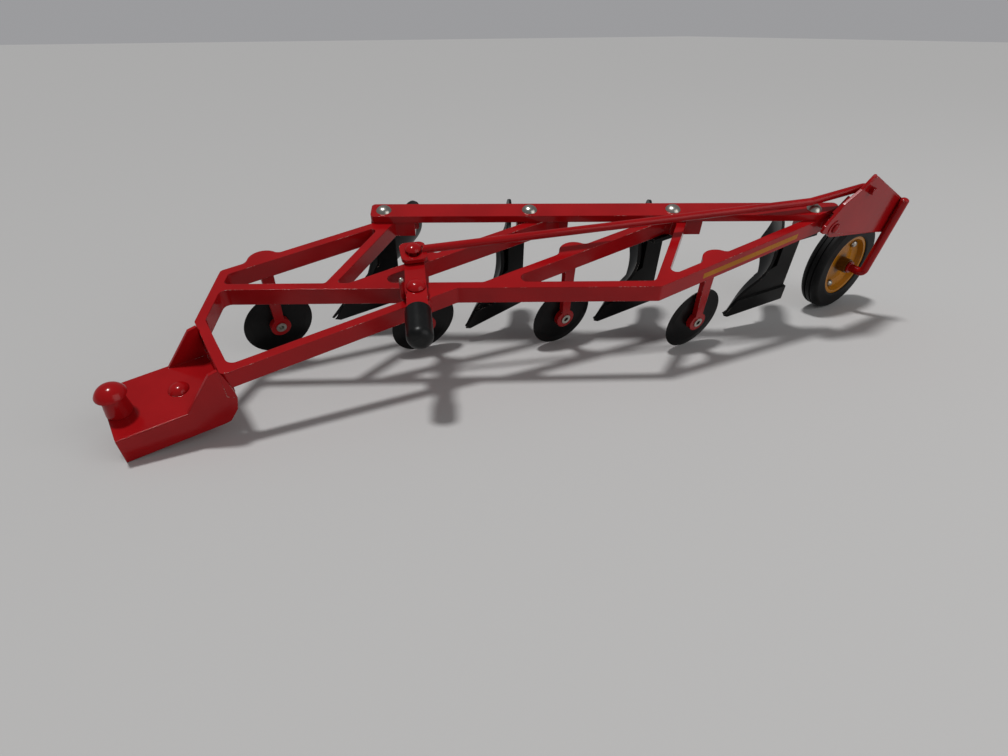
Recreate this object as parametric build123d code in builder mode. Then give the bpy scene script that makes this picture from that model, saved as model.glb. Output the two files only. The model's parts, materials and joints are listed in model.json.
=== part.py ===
"""Toy four-bottom moldboard plough: a flat die-cast lattice frame that carries four plough bottoms and
four rolling coulters, a stamped drawbar with a drop pin in front, and a lift lever whose rod tilts the
rear wheel's bracket.

Frame coordinates, in millimetres: x runs to the plough's left, y to its rear, z up from the drawbar's top
plate. The origin is on the hitch pin's axis, where its free stem leaves the plate's underside. The whole
plough is laid into the row's axes by FRAME_PITCH and FRAME_ROLL, the way it leans on the floor: on the
drawbar's left corner, the coulters and the rear wheel.
"""

from build123d import *
import math
import os

os.makedirs("parts", exist_ok=True)

# ---------------------------------------------------------------- how it stands
FRAME_PITCH = 9.2  # degrees, nose down
FRAME_ROLL = 17.0  # degrees, left side down
FLOOR_GAP = 0.2  # coulters over the floor that drawbar and wheel stand on

# ---------------------------------------------------------------- lattice frame
FRAME_TOP = 10.5  # over the drawbar's plate
BEAM_DEPTH = 7.0
BEAM_WIDTH = 3.5
SLANT = 30.0  # degrees between the rail and the direction of travel
RIVET_PITCH = 60.0
FIRST_RIVET = (-43.9, 116.6)
CROSS_OFFSET = 45.6  # from the rail's line to the cross beam's
BEAM_LEFT = (3.6, 4.9, -0.1, 2.7)  # each beam's centre line, left of its own rivet
FRONT_BEAM_X = 10.6
FRONT_BAR_Y = 33.7
FRONT_BAR_X = -17.5  # where the front bar turns into the slanted one
BRACE_MEETS = (-4.7, 8.5)  # where a brace meets the first and the third beam, past the rail's centre line
CORNER_Y = 49.0  # the frame's right front corner
BLOCK_AHEAD, BLOCK_BEHIND = 5.2, 12.5  # seat of a plough bottom under the rail
TAIL_ROUND = 3.0

# ---------------------------------------------------------------- rail and rivets
RAIL_WIDTH = 9.3
RAIL_THICK = 3.0
RAIL_LEAD, RAIL_TAIL = 5.2, 11.0  # past the first and the last rivet
RAIL_TRIM = 1.8  # its rear end is cut this far left of the left beam
RIVET_R = 1.5
RIVET_HEAD_R = 3.2
RIVET_HEAD_H = 1.7
TAIL_R = 2.2
FIT = 0.05  # radial clearance of a shank in its hole

# ---------------------------------------------------------------- plough bottoms
# each bottom turned on its single rivet, set back from it, and its moldboard's wing bent back
BOTTOMS = ((3.0, 3.4, 19.0), (-6.0, -1.8, 0.0), (3.0, -1.9, 0.0), (7.0, -1.3, 0.0))
# a bottom's own sizes: left, back and up from its rivet and the frame's top
LEG_FRONT, LEG_REAR = -8.2, 0.4
LEG_RIGHT, LEG_THICK = -3.0, 2.4
FOOT_THICK, FOOT_LEFT, FOOT_REAR = 2.0, 3.4, 4.6
HEEL_BACK, SOLE, LANDSIDE_TOP, LANDSIDE_PROUD = 1.5, -45.4, -37.9, 0.8
TIP = (-33.8, -43.5)
BOARD_THICK = 1.2
BOARD_LEFT = -1.6  # its front edge
BOARD_SWEEP = 48.5  # degrees, from straight back to the right
BOARD_REACH, BOARD_BOW = 36.0, 2.6
BOARD_TOP, WING_TOP, WING_R = -9.3, -12.0, 9.5
# the moldboard's front edge from the share's point up: height, and how far back
SHIN = ((-46.0, -36.6), (-38.0, -27.4), (-31.0, -19.0), (-26.5, -14.2), (-21.0, -12.3), (-7.5, -12.0))

# ---------------------------------------------------------------- coulters
COULTER_R = 14.5
COULTER_THICK = 1.0
COULTER_AHEAD = (52.6, 52.0615, 50.023, 56.4846)  # of its own beam's rivet
PAD_R = 6.3
PAD_SHIFT = 1.5
SHANK_THICK, SHANK_WIDTH = 2.4, 3.6
EYE_R = 4.2
EYELET_R, EYELET_HOLE_R, EYELET_RIM_R, EYELET_RIM = 1.5, 1.0, 2.1, 0.5
RUN_GAP = 0.3  # between turning and standing faces

# ---------------------------------------------------------------- drawbar
SHEET = 1.2
DRAWBAR_HALF = 12.9
DRAWBAR_FRONT, DRAWBAR_REAR = -4.0, 34.6
FLANGE_DEPTH = 10.5
EAR_START, EAR_PEAK = 18.5, 31.6
EAR_RISE = 13.0
SEAT = 0.2  # between flat faces that only lie side by side
PLATE_END = 31.6
PIN_HEAD_R, PIN_HEAD_H, PIN_HEAD_Z = 5.1, 3.8, 7.6
PIN_NECK_R, PIN_FOOT_R, PIN_SHOULDER_R, PIN_STEM_R = 3.6, 4.3, 3.0, 2.4
PIN_STEM_END = 9.0
DRAW_RIVET_Y = 18.8
DRAW_RIVET_HEAD_R, DRAW_RIVET_HEAD_H = 3.5, 1.9
TONGUE_WIDTH, TONGUE_THICK = 14.0, 2.4

# ---------------------------------------------------------------- lift lever and rod
PIVOT = (8.4, 104.8)
LEVER_ANGLE = -24.2  # of the grip, from straight left
LEVER_WIDTH, LEVER_THICK = 7.6, 1.8
LEVER_LIFT = 2.2  # over the frame's top
LEVER_ARM = 18.6  # from the pivot to the rod's rivet
GRIP_START, GRIP_LENGTH, GRIP_R = 12.5, 16.5, 4.7
LEVER_RIVET_HEAD_R, LEVER_RIVET_HEAD_H = 3.6, 2.0
TANG_WIDTH = 5.0
BOSS_R = 5.6
STOP_R, STOP_HEIGHT = 0.9, 8.0
STOP_ALONG = 1.5
EYE_GAP_BELOW, EYE_GAP_ABOVE, EYE_PLAY = 0.7, 1.1, 0.7  # the rod's eye is loose on its rivet
ROD_R = 1.6
EYE_PLATE, EYE_WIDTH, EYE_LENGTH, EYE_CORNER = 1.5, 11.4, 9.8, 2.6
EYE_SLOT = 1.8  # half the play of the rod's front eye across the rod

# ---------------------------------------------------------------- wheel bracket and wheel
BRACKET_OFF = 5.6  # its plate's inner face, left of the left beam's centre line
BRACKET_BEHIND, BRACKET_PIVOT_Z = 5.0154, 7.5  # its pivot, from the last rivet
# the plate's rounded corners, back and up from its pivot: centre and radius
BRACKET_CORNERS = (((0.0, 0.0), 4.2), ((16.9, 15.7), 2.8), ((42.3, -0.1), 1.6), ((36.1, -12.5), 1.6))
BRACKET_FLANGE = 3.0
FLANGE_FROM, FLANGE_TO = 3.5, 12.6  # along the front edge, from the pivot
TAIL_BOSS_R = 3.0
WIRE_TOP = (42.9, 1.0)  # back and up from the pivot, like the next three
ROD_HOOK = (14.8, 13.8)
ROD_BEND_BACK = -7.5
WHEEL_BACK = 35.5
WHEEL_IN = 5.4  # near face of the tyre, right of the bracket's plate
TYRE_R, TYRE_WIDTH, RIM_R = 22.8, 8.8, 14.9
TREAD_FROM, GROOVE, GROOVE_WIDTH = 2.7, 0.6, 0.8
TREAD_EDGE = 1.9  # from the tyre's near face to where it meets the floor
HUB_R, AXLE_R = 3.4, 1.9
HUB_PROUD, RIM_INSET = 1.0, 0.65
WHEEL_LEAN, WHEEL_TOE = 6.0, 4.0  # degrees of the axle from straight left, up and back


# ================================================================ placing
tilted = Plane.XY.rotated((FRAME_PITCH, FRAME_ROLL, 0))
LEFT, BACK, UP = tilted.x_dir, tilted.y_dir, tilted.z_dir
# the floor's upward direction as seen in frame coordinates
FLOOR = Vector(LEFT.Z, BACK.Z, UP.Z)


def at(x, y, z):
    """A point given in frame coordinates; the origin lies under the drawbar's plate."""
    return LEFT * x + BACK * y + UP * (z + SHEET)


def level(z):
    """The plane parallel to the frame at height z: sketches are (left, back)."""
    return Plane(origin=at(0, 0, z), x_dir=LEFT, z_dir=UP)


def side(x):
    """The upright plane along the direction of travel: sketches are (back, up), thickness goes left."""
    return Plane(origin=at(x, 0, 0), x_dir=BACK, z_dir=LEFT)


def lathe(x, y, z, along, radial):
    """The plane of a turned piece's half outline: sketches are (radius, along its axis)."""
    return Plane(origin=at(x, y, z), x_dir=radial, z_dir=radial.cross(along))


def finish(part, label):
    """Names a piece and writes it."""
    part.label = label
    export_step(part, f"parts/{label}.step")


corner_floor = FLOOR.dot(Vector(DRAWBAR_HALF, DRAWBAR_FRONT, -FLANGE_DEPTH))


def round_height(x, y, radius, gap=0.0, axle=Vector(1, 0, 0)):
    """Height of the axis of a wheel that stands on the floor (plus a gap) at x, y."""
    reach = radius * math.sqrt(1 - FLOOR.dot(axle) ** 2)
    return (corner_floor + gap + reach - FLOOR.X * x - FLOOR.Y * y) / FLOOR.Z


# ================================================================ plan of the lattice
sin_s, cos_s = math.sin(math.radians(SLANT)), math.cos(math.radians(SLANT))


def on_rail(i, along=0.0, across=0.0):
    """A point at rivet i, moved along the rail and across it to its left."""
    x = FIRST_RIVET[0] + (i * RIVET_PITCH + along) * sin_s + across * cos_s
    y = FIRST_RIVET[1] + (i * RIVET_PITCH + along) * cos_s - across * sin_s
    return (x, y)


def cross_y(x):
    """Where the cross beam's centre line is at x."""
    x0, y0 = on_rail(0, 0, CROSS_OFFSET)
    return y0 + (x - x0) * cos_s / sin_s


def rail_y(x):
    """Where the rail's centre line is at x."""
    return FIRST_RIVET[1] + (x - FIRST_RIVET[0]) * cos_s / sin_s


beam_x = [on_rail(i)[0] + left for i, left in enumerate(BEAM_LEFT)]
coulter_y = [on_rail(i)[1] - ahead for i, ahead in enumerate(COULTER_AHEAD)]
bracket_x = beam_x[3] + BRACKET_OFF
pivot_y = on_rail(3)[1] + BRACKET_BEHIND


def from_pivot(back, up):
    """A point given from the bracket's pivot, in a side view's (back, up)."""
    return (pivot_y + back, BRACKET_PIVOT_Z + up)


bracket_pivot = from_pivot(0, 0)
rod_eye = from_pivot(*ROD_HOOK)
wheel_x, wheel_y = bracket_x - WHEEL_IN, pivot_y + WHEEL_BACK

front_right = (beam_x[0], CORNER_Y)
front_turn = (FRONT_BAR_X, FRONT_BAR_Y)
front_left = (FRONT_BEAM_X, FRONT_BAR_Y)
knee = (FRONT_BEAM_X, cross_y(FRONT_BEAM_X))
elbow = (beam_x[3], cross_y(beam_x[3]))
tail = (beam_x[3], pivot_y + TAIL_ROUND - BEAM_WIDTH / 2)

lever_dir = (math.cos(math.radians(LEVER_ANGLE)), math.sin(math.radians(LEVER_ANGLE)))
stop_reach = LEVER_WIDTH / 2 + STOP_R + RUN_GAP
stop_at = (
    PIVOT[0] + STOP_ALONG * lever_dir[0] + stop_reach * lever_dir[1],
    PIVOT[1] + STOP_ALONG * lever_dir[1] - stop_reach * lever_dir[0],
)

# where the cross beam starts, on the slanted front bar
share = 0.32
cross_start = (
    front_right[0] + share * (front_turn[0] - front_right[0]),
    front_right[1] + share * (front_turn[1] - front_right[1]),
)
brace_foot_1 = (beam_x[1] - 4.0, cross_y(beam_x[1] - 4.0))

outer = [front_right, front_turn, front_left, knee, elbow, tail, (beam_x[0], rail_y(beam_x[0]))]
far = 60.0  # an open bay reaches this far past the rail's line
# windows and open bays between the beams' centre lines: corners and the radius of their rounded ends
windows = [
    ([front_right, (beam_x[0], rail_y(beam_x[0]) + BRACE_MEETS[0]), brace_foot_1, cross_start], 1.6),
    ([cross_start, front_turn, front_left, knee], 3.0),
    ([(beam_x[2], cross_y(beam_x[2])), (beam_x[2], rail_y(beam_x[2]) + BRACE_MEETS[1]), elbow], 2.6),
    (
        [
            (beam_x[1], cross_y(beam_x[1])),
            (beam_x[1], rail_y(beam_x[1]) + far),
            (beam_x[2], rail_y(beam_x[2]) + far),
            (beam_x[2], cross_y(beam_x[2])),
        ],
        2.6,
    ),
    (
        [
            (beam_x[0], rail_y(beam_x[0]) + BRACE_MEETS[0]),
            (beam_x[0], rail_y(beam_x[0]) + far),
            (beam_x[1], rail_y(beam_x[1]) + far),
            (beam_x[1], cross_y(beam_x[1])),
            brace_foot_1,
        ],
        2.2,
    ),
    (
        [
            (beam_x[2], rail_y(beam_x[2]) + BRACE_MEETS[1]),
            (beam_x[2], rail_y(beam_x[2]) + far),
            (beam_x[3], rail_y(beam_x[3]) + far),
            elbow,
        ],
        2.2,
    ),
]


def inset(corners, amount):
    """The corners of a closed outline moved inward by an amount, outward if it is negative."""
    turn = sum(p[0] * q[1] - q[0] * p[1] for p, q in zip(corners, corners[1:] + corners[:1]))
    inward = amount if turn > 0 else -amount
    lines = []
    for p, q in zip(corners, corners[1:] + corners[:1]):
        length = math.dist(p, q)
        normal = ((p[1] - q[1]) / length, (q[0] - p[0]) / length)
        lines.append((normal, normal[0] * p[0] + normal[1] * p[1] + inward))
    moved = []
    for (n, d), (m, e) in zip(lines[-1:] + lines[:-1], lines):
        spread = n[0] * m[1] - n[1] * m[0]
        moved.append(((d * m[1] - e * n[1]) / spread, (n[0] * e - m[0] * d) / spread))
    return moved


def rounded(corners, radius):
    """Draws a closed outline whose corners are rounded, each as far as its two edges allow."""
    starts, mids, ends = [], [], []
    for before, corner, after in zip(corners[-1:] + corners[:-1], corners, corners[1:] + corners[:1]):
        to_before = (Vector(*before) - Vector(*corner)).normalized()
        to_after = (Vector(*after) - Vector(*corner)).normalized()
        half = math.acos(max(-1.0, min(1.0, to_before.dot(to_after)))) / 2
        room = 0.45 * min(math.dist(before, corner), math.dist(corner, after))
        reach = min(radius / math.tan(half), room)
        arc = reach * math.tan(half)
        middle = (to_before + to_after).normalized() * (arc / math.sin(half) - arc)
        starts.append(Vector(*corner) + to_before * reach)
        mids.append(Vector(*corner) + middle)
        ends.append(Vector(*corner) + to_after * reach)
    with BuildLine() as outline:
        for i in range(len(corners)):
            ThreePointArc(starts[i], mids[i], ends[i])
            Line(ends[i], starts[(i + 1) % len(corners)])
    make_face(outline.edges())


def block(i, along_from, along_to, half_width):
    """The corners of a length of the rail's line at rivet i."""
    return [
        on_rail(i, along_from, -half_width),
        on_rail(i, along_to, -half_width),
        on_rail(i, along_to, half_width),
        on_rail(i, along_from, half_width),
    ]


# ================================================================ heights
FRAME_BOTTOM = FRAME_TOP - BEAM_DEPTH
RAIL_TOP = FRAME_TOP + RAIL_THICK
lever_z = FRAME_TOP + LEVER_LIFT
eye_z = lever_z + LEVER_THICK + EYE_GAP_BELOW
rod_z = eye_z + ROD_R + 0.15
lean, toe = math.radians(WHEEL_LEAN), math.radians(WHEEL_TOE)
# the axle's direction in frame coordinates, and in the row's axes
axle = Vector(math.cos(lean) * math.cos(toe), math.cos(lean) * math.sin(toe), math.sin(lean))
AXLE = LEFT * axle.X + BACK * axle.Y + UP * axle.Z
# the axle meets the floor's height at the tread's near edge
wheel_z = (
    round_height(wheel_x - TREAD_EDGE * axle.X, wheel_y - TREAD_EDGE * axle.Y, TYRE_R, axle=axle)
    + TREAD_EDGE * axle.Z
)
shank_x = [x - PAD_SHIFT for x in beam_x]  # the shanks' left faces
disc_x = [x - SHANK_THICK - RUN_GAP - COULTER_THICK for x in shank_x]
coulter_z = [round_height(x, y, COULTER_R, FLOOR_GAP) for x, y in zip(disc_x, coulter_y)]
print("heights: wheel", round(wheel_z, 2), "coulters", [round(z, 2) for z in coulter_z])


def rivet_outline(shank_r, head_r, head_h, length, tail_r, tail_h):
    """Half of a domed rivet: the head sits at height 0, the closed-up tail at -length."""
    with BuildLine() as outline:
        ThreePointArc((0, head_h), (head_r * 0.72, head_h * 0.62), (head_r, 0))
        Polyline(
            (head_r, 0),
            (shank_r, 0),
            (shank_r, -length),
            (tail_r, -length),
            (tail_r, -length - tail_h),
            (0, -length - tail_h),
            (0, head_h),
        )
    make_face(outline.edges())


def wire(points, radius, bend):
    """Adds a round wire through points given in frame coordinates, its corners bent to a radius."""
    spots = [at(*p) for p in points]
    with BuildLine() as path:
        start = spots[0]
        for before, corner, after in zip(spots, spots[1:], spots[2:]):
            to_before, to_after = (before - corner).normalized(), (after - corner).normalized()
            half = math.acos(to_before.dot(to_after)) / 2
            reach = bend / math.tan(half)
            middle = (to_before + to_after).normalized() * (bend / math.sin(half) - bend)
            Line(start, corner + to_before * reach)
            ThreePointArc(corner + to_before * reach, corner + middle, corner + to_after * reach)
            start = corner + to_after * reach
        Line(start, spots[-1])
    with BuildSketch(Plane(origin=spots[0], z_dir=spots[1] - spots[0])) as section:
        Circle(radius)
    sweep(section.sketch, path=path.wire())


# ================================================================ the lattice frame
with BuildPart() as plough_frame:
    with BuildSketch(level(FRAME_TOP)) as lattice:
        rounded(inset(outer, -BEAM_WIDTH / 2), 2.0)
        for corners, radius in windows:
            with BuildSketch(mode=Mode.PRIVATE) as opening:
                rounded(inset(corners, BEAM_WIDTH / 2), radius)
            add(opening.sketch, mode=Mode.SUBTRACT)
        for i in range(4):
            with BuildLine():
                Polyline(*block(i, -BLOCK_AHEAD, BLOCK_BEHIND, RAIL_WIDTH / 2 - 1.0), close=True)
            make_face()
        for x, y in zip(beam_x, coulter_y):
            with BuildLine():
                ThreePointArc((x, y - PAD_R), (x - PAD_R, y), (x, y + PAD_R))
                Line((x, y + PAD_R), (x, y - PAD_R))
            make_face()
        with Locations(PIVOT):
            Circle(BOSS_R)
    extrude(amount=-BEAM_DEPTH)
    # the left beam is trimmed clear of the rear wheel's bracket
    with BuildSketch(level(FRAME_TOP)):
        with Locations((beam_x[3] + BEAM_WIDTH / 2, tail[1])):
            Rectangle(20, 40, align=(Align.MIN, Align.CENTER))
    extrude(amount=-BEAM_DEPTH, mode=Mode.SUBTRACT)
    # tongue under the drawbar's plate, hung from the front bar
    with BuildSketch(side(-TONGUE_WIDTH / 2)):
        with BuildLine():
            Polyline(
                (DRAW_RIVET_Y - 6.0, -SHEET),
                (PLATE_END + SEAT, -SHEET),
                (PLATE_END + SEAT, FRAME_TOP - 1.0),
                (FRONT_BAR_Y + BEAM_WIDTH / 2 - 0.5, FRAME_TOP - 1.0),
                (FRONT_BAR_Y + BEAM_WIDTH / 2 - 0.5, -SHEET - TONGUE_THICK),
                (DRAW_RIVET_Y - 6.0, -SHEET - TONGUE_THICK),
                close=True,
            )
        make_face()
    extrude(amount=TONGUE_WIDTH)
    with BuildSketch(level(-SHEET)):
        with Locations((0, DRAW_RIVET_Y)):
            Circle(RIVET_R + FIT)
    extrude(amount=-SHEET - TONGUE_THICK - 1, mode=Mode.SUBTRACT)
    # lever boss and stop post
    with BuildSketch(level(FRAME_TOP)):
        with Locations(PIVOT):
            Circle(BOSS_R - 1.2)
    extrude(amount=LEVER_LIFT - RUN_GAP)
    with BuildSketch(level(FRAME_TOP)):
        with Locations(stop_at):
            Circle(STOP_R)
    extrude(amount=STOP_HEIGHT)
    with BuildSketch(level(lever_z)):
        with Locations(PIVOT):
            Circle(RIVET_R + FIT)
    extrude(amount=-lever_z, mode=Mode.SUBTRACT)
    # rivet holes in the blocks
    with BuildSketch(level(FRAME_TOP)):
        with Locations(*[on_rail(i) for i in range(4)]):
            Circle(RIVET_R + FIT)
    extrude(amount=-BEAM_DEPTH, mode=Mode.SUBTRACT)
    # coulter shanks
    for x, y, z in zip(shank_x, coulter_y, coulter_z):
        with BuildSketch(side(x)):
            with BuildLine():
                Polyline(
                    (y - SHANK_WIDTH / 2 - 0.8, FRAME_BOTTOM + 1),
                    (y + SHANK_WIDTH / 2 + 0.8, FRAME_BOTTOM + 1),
                    (y + SHANK_WIDTH / 2, z),
                    (y - SHANK_WIDTH / 2, z),
                    close=True,
                )
            make_face()
            with Locations((y, z)):
                Circle(EYE_R)
                Circle(EYELET_R + FIT, mode=Mode.SUBTRACT)
        extrude(amount=-SHANK_THICK)
    # bracket pivot boss
    with BuildSketch(side(beam_x[3])):
        with Locations(bracket_pivot):
            Circle(TAIL_BOSS_R)
    extrude(amount=bracket_x - RUN_GAP - beam_x[3])
    with BuildSketch(side(beam_x[3] - 20)):
        with Locations(bracket_pivot):
            Circle(RIVET_R + FIT)
    extrude(amount=40, mode=Mode.SUBTRACT)
finish(plough_frame.part, "plough_frame")

# ================================================================ rail and its rivets
with BuildPart() as top_rail:
    with BuildSketch(level(FRAME_TOP)):
        a, b, c, d = block(0, -RAIL_LEAD, 3 * RIVET_PITCH + RAIL_TAIL, RAIL_WIDTH / 2)
        rounded([a, b, c, d], 1.8)
        with Locations((beam_x[3] + RAIL_TRIM, tail[1])):
            Rectangle(20, 60, align=(Align.MIN, Align.CENTER), mode=Mode.SUBTRACT)
        with Locations(*[on_rail(i) for i in range(4)]):
            Circle(RIVET_R + FIT, mode=Mode.SUBTRACT)
    extrude(amount=RAIL_THICK)
finish(top_rail.part, "top_rail")

for i in range(4):
    seat = lathe(*on_rail(i), RAIL_TOP, UP, BACK)
    with BuildPart() as rail_rivet:
        with BuildSketch(seat):
            grip_length = RAIL_THICK + BEAM_DEPTH + FOOT_THICK
            rivet_outline(RIVET_R, RIVET_HEAD_R, RIVET_HEAD_H, grip_length, TAIL_R, 0.6)
        revolve(axis=Axis(seat.origin, UP))
    finish(rail_rivet.part, f"rail_rivet_{i + 1}")

# ================================================================ plough bottoms
def bottom_place(i, left=0.0, back=0.0, up=0.0):
    """Where a point of bottom i lies, and the directions of its own left and back."""
    turn, set_back, _ = BOTTOMS[i]
    c, s = math.cos(math.radians(turn)), math.sin(math.radians(turn))
    own_left, own_back = LEFT * c - BACK * s, LEFT * s + BACK * c
    origin = at(*on_rail(i), FRAME_TOP) + BACK * set_back
    return origin + own_left * left + own_back * back + UP * up, own_left, own_back


def bottom_side(i, left):
    """The upright plane along bottom i's leg: sketches are (back, up), thickness goes left."""
    origin, own_left, own_back = bottom_place(i, left)
    return Plane(origin=origin, x_dir=own_back, z_dir=own_left)


def shin_back(up):
    """How far back the moldboard's front edge is at a height."""
    for (low, back_low), (high, back_high) in zip(SHIN, SHIN[1:]):
        if up <= high:
            return back_low + (back_high - back_low) * (up - low) / (high - low)
    return SHIN[-1][1]


def board_loft(i, front, rear):
    """Lofts the space behind bottom i's working face moved back by front, as far as rear."""
    sweep_angle = math.radians(BOARD_SWEEP - BOTTOMS[i][2])
    run = (-math.sin(sweep_angle), math.cos(sweep_angle))
    aft = (math.cos(sweep_angle), math.sin(sweep_angle))
    sections = []
    for up, back in SHIN:
        origin, own_left, _ = bottom_place(i, up=up)
        with BuildSketch(Plane(origin=origin, x_dir=own_left, z_dir=UP)) as section:
            with BuildLine() as outline:
                faces = []
                for shift in (rear, front):
                    face = []
                    for along, bow in ((-3.0, 0.0), (BOARD_REACH / 2, BOARD_BOW), (BOARD_REACH + 3.0, 0.0)):
                        off = bow + shift
                        left = BOARD_LEFT + run[0] * along + aft[0] * off
                        face.append((left, back + run[1] * along + aft[1] * off))
                    faces.append(face)
                near, away = faces
                ThreePointArc(*near)
                Line(near[2], away[2])
                ThreePointArc(*reversed(away))
                Line(away[0], near[0])
            make_face(outline.edges())
        sections.append(section.sketch)
    loft(sections)


def board_outline(i):
    """Draws the moldboard's outline as seen square to its sweep: along it, and up."""
    sweep_angle = math.radians(BOARD_SWEEP - BOTTOMS[i][2])

    def shin(up, ahead=0.0):
        return ((shin_back(up) - shin_back(0)) * math.cos(sweep_angle) + ahead, up)

    wing = BOARD_REACH - WING_R
    with BuildLine() as outline:
        Polyline(shin(TIP[1]), shin(-38.0, 5.4), shin(-31.0, 9.0), (wing, WING_TOP - 2 * WING_R))
        ThreePointArc((wing, WING_TOP - 2 * WING_R), (BOARD_REACH, WING_TOP - WING_R), (wing, WING_TOP))
        Polyline((wing, WING_TOP), shin(BOARD_TOP), shin(-21.0), shin(-26.5), shin(-31.0), shin(TIP[1]))
    make_face(outline.edges())


for i in range(4):
    rivet_x, rivet_y = on_rail(i)
    sweep_angle = math.radians(BOARD_SWEEP - BOTTOMS[i][2])
    corner, own_left, own_back = bottom_place(i, BOARD_LEFT, shin_back(0))
    run_dir = own_back * math.cos(sweep_angle) - own_left * math.sin(sweep_angle)
    with BuildPart() as moldboard:
        board_loft(i, 0, BOARD_THICK)
        with BuildSketch(Plane(origin=corner, x_dir=run_dir, z_dir=run_dir.cross(UP))):
            board_outline(i)
        extrude(amount=40, both=True, mode=Mode.INTERSECT)
    finish(moldboard.part, f"moldboard_{i + 1}")

    with BuildPart() as room:
        board_loft(i, -25, BOARD_THICK)

    with BuildPart() as bottom_body:
        # leg, share point and sole in one plate
        with BuildSketch(bottom_side(i, LEG_RIGHT)):
            with BuildLine():
                Polyline(
                    (LEG_FRONT, -BEAM_DEPTH),
                    (LEG_REAR, -BEAM_DEPTH),
                    (LEG_REAR, LANDSIDE_TOP),
                    (HEEL_BACK, LANDSIDE_TOP),
                    (HEEL_BACK, SOLE),
                    (-29.5, SOLE - 0.6),
                    TIP,
                    (shin_back(-31.0), -31.0),
                    (shin_back(-26.5), -26.5),
                    (LEG_FRONT, -24.0),
                    close=True,
                )
            make_face()
        extrude(amount=LEG_THICK)
        # landside, proud of the leg
        with BuildSketch(bottom_side(i, LEG_RIGHT + LEG_THICK)):
            with BuildLine():
                Polyline(
                    (HEEL_BACK, LANDSIDE_TOP),
                    (HEEL_BACK, SOLE),
                    (-29.5, SOLE - 0.6),
                    TIP,
                    (shin_back(LANDSIDE_TOP), LANDSIDE_TOP),
                    close=True,
                )
            make_face()
        extrude(amount=LANDSIDE_PROUD)
        # web from the leg to the back of the moldboard
        with BuildSketch(bottom_side(i, LEG_RIGHT)):
            with BuildLine():
                Polyline(
                    (-12.0, -36.0), (-3.0, -36.0), (-3.0, -30.0), (-8.0, -25.0), (-12.0, -25.0), close=True
                )
            make_face()
        extrude(amount=-5)
        # foot under the frame's block
        origin, own_left, own_back = bottom_place(i, LEG_RIGHT, LEG_FRONT, -BEAM_DEPTH)
        with BuildSketch(Plane(origin=origin, x_dir=own_left, z_dir=UP)):
            Rectangle(FOOT_LEFT - LEG_RIGHT, FOOT_REAR - LEG_FRONT, align=(Align.MIN, Align.MIN))
        extrude(amount=-FOOT_THICK)
        add(room.part, mode=Mode.SUBTRACT)
        for top, radius, depth in ((0, RIVET_R + FIT, FOOT_THICK), (FOOT_THICK, TAIL_R + 0.3, 1.5)):
            with BuildSketch(level(FRAME_BOTTOM - top)):
                with Locations((rivet_x, rivet_y)):
                    Circle(radius)
            extrude(amount=-depth, mode=Mode.SUBTRACT)
    finish(bottom_body.part, f"bottom_body_{i + 1}")

# ================================================================ coulters
for i, (x, y, z) in enumerate(zip(shank_x, coulter_y, coulter_z)):
    hub = lathe(disc_x[i], y, z, LEFT, UP)
    with BuildPart() as coulter_disc:
        with BuildSketch(hub):
            with BuildLine():
                Polyline(
                    (EYELET_R + FIT, 0),
                    (COULTER_R - 3.0, 0),
                    (COULTER_R, COULTER_THICK * 0.35),
                    (COULTER_R, COULTER_THICK * 0.65),
                    (COULTER_R - 3.0, COULTER_THICK),
                    (EYELET_R + FIT, COULTER_THICK),
                    close=True,
                )
            make_face()
        revolve(axis=Axis(hub.origin, LEFT))
    finish(coulter_disc.part, f"coulter_disc_{i + 1}")

    with BuildPart() as coulter_eyelet:
        with BuildSketch(hub):
            outer_end = SHANK_THICK + RUN_GAP + COULTER_THICK
            with BuildLine():
                Polyline(
                    (EYELET_HOLE_R, outer_end + EYELET_RIM),
                    (EYELET_RIM_R, outer_end + EYELET_RIM),
                    (EYELET_RIM_R, outer_end),
                    (EYELET_R, outer_end),
                    (EYELET_R, -RUN_GAP),
                    (EYELET_RIM_R, -RUN_GAP),
                    (EYELET_RIM_R, -RUN_GAP - EYELET_RIM),
                    (EYELET_HOLE_R, -RUN_GAP - EYELET_RIM),
                    close=True,
                )
            make_face()
        revolve(axis=Axis(hub.origin, LEFT))
    finish(coulter_eyelet.part, f"coulter_eyelet_{i + 1}")

# ================================================================ drawbar, its rivet and the hitch pin
with BuildPart() as drawbar:
    # both flanges with their ears, then the plate between them
    for x in (-DRAWBAR_HALF, DRAWBAR_HALF - SHEET):
        with BuildSketch(side(x)):
            with BuildLine():
                Polyline(
                    (DRAWBAR_FRONT, 0),
                    (EAR_START, 0),
                    (EAR_PEAK - 3.0, EAR_RISE - 0.6),
                    (EAR_PEAK, EAR_RISE),
                    (EAR_PEAK, 1.0),
                    (DRAWBAR_REAR, -1.0),
                    (DRAWBAR_REAR - 1.2, -6.1),
                    (DRAWBAR_REAR - 4.4, -FLANGE_DEPTH + 0.4),
                    (DRAWBAR_REAR - 6.5, -FLANGE_DEPTH),
                    (DRAWBAR_FRONT, -FLANGE_DEPTH),
                    close=True,
                )
            make_face()
        extrude(amount=SHEET)
    with BuildSketch(level(0)):
        with BuildLine():
            Polyline(
                (-DRAWBAR_HALF, DRAWBAR_FRONT),
                (DRAWBAR_HALF, DRAWBAR_FRONT),
                (DRAWBAR_HALF, PLATE_END),
                (-DRAWBAR_HALF, PLATE_END),
                close=True,
            )
        make_face()
        with Locations((0, DRAW_RIVET_Y)):
            Circle(RIVET_R + FIT, mode=Mode.SUBTRACT)
        Circle(PIN_SHOULDER_R + FIT, mode=Mode.SUBTRACT)
    extrude(amount=-SHEET)
finish(drawbar.part, "drawbar")

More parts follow.
